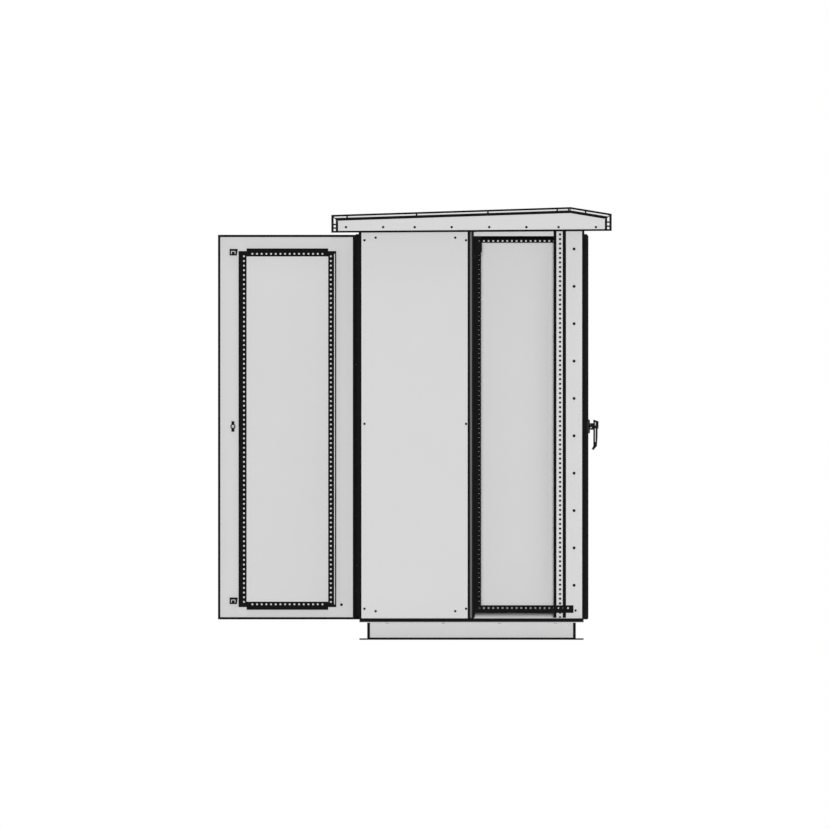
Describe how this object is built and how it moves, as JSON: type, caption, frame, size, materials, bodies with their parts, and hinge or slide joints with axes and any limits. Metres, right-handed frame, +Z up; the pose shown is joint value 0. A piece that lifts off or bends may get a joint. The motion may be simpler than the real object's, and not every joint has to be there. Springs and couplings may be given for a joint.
{
  "type": "outdoor switchgear enclosure",
  "caption": "Outdoor sheet-metal switchgear enclosure on a plinth, with a ridged canopy roof, a door at each end, screwed side panels and perforated mounting frames.",
  "frame": {"origin": "centre of the rectangle of anchor holes, on the underside of the plinth under the middle of the body", "axes": "+X from the front door end to the rear door end, +Y from the near side, open in its rear bay, to the far side, +Z up"},
  "size_m": [2.107, 0.877, 2.316],
  "materials": {
    "grey_coat": "satin powder coat, light grey",
    "plinth_coat": "satin powder coat, light grey",
    "black_profile": "matt black coated perforated profile",
    "black_steel": "semi-matt black coated steel",
    "black_rubber": "matt black rubber edge profile",
    "black_plastic": "fine grained black moulding"
  },
  "bodies": {
    "enclosure": {"base_frame": "black_steel", "bottom_rails": "black_profile", "ceiling_plate": "grey_coat", "centre_posts": "black_steel", "centre_uprights": "black_profile", "corner_posts": "grey_coat", "far_panel_front": "grey_coat", "far_panel_rear": "grey_coat", "floor_plate": "grey_coat", "front_door_surround": "grey_coat", "front_doorway_seal": "black_rubber", "front_hinge_body_leaf": "black_steel", "mounting_uprights": "grey_coat", "near_panel_front": "grey_coat", "plinth_ends": "plinth_coat", "plinth_sides": "plinth_coat", "rear_door_surround": "grey_coat", "rear_doorway_seal": "black_rubber", "rear_hinge_body_leaf": "black_steel", "roof_bearers": "grey_coat", "roof_end_fascias": "grey_coat", "roof_front_slope": "grey_coat", "roof_rear_slope": "grey_coat", "roof_side_fascias": "grey_coat", "top_bars": "grey_coat", "top_rails": "black_profile", "upper_bracket": "black_steel"},
    "front_door": {"front_door_catches": "black_steel", "front_door_edge": "black_rubber", "front_door_rails": "black_profile", "front_door_rosette": "black_plastic", "front_door_skin": "grey_coat", "front_door_uprights": "black_profile", "front_hinge_door_leaf": "black_steel"},
    "rear_door": {"rear_door_catches": "black_steel", "rear_door_edge": "black_rubber", "rear_door_rails": "black_profile", "rear_door_rosette": "black_plastic", "rear_door_skin": "grey_coat", "rear_door_uprights": "black_profile", "rear_hinge_door_leaf": "black_steel"},
    "front_handle": {"front_handle_lever": "black_plastic", "front_lock_cam": "black_steel"},
    "rear_handle": {"rear_handle_lever": "black_plastic", "rear_lock_cam": "black_steel"}
  },
  "joints": [
    {"name": "front_door_swing", "type": "hinge", "parent": "enclosure", "child": "front_door", "pos_m": [-0.614, 0.376, 1.14], "axis": [0, 0, 1], "range_deg": [-30, 90]},
    {"name": "rear_door_swing", "type": "hinge", "parent": "enclosure", "child": "rear_door", "pos_m": [0.614, -0.376, 1.14], "axis": [0, 0, -1], "range_deg": [0, 120]},
    {"name": "front_handle_turn", "type": "hinge", "parent": "front_door", "child": "front_handle", "pos_m": [-1.277, 0.376, 1.142], "axis": [0, -1, 0], "range_deg": [0, 90]},
    {"name": "rear_handle_turn", "type": "hinge", "parent": "rear_door", "child": "rear_handle", "pos_m": [0.614, 0.287, 1.142], "axis": [-1, 0, 0], "range_deg": [0, 90]}
  ]
}
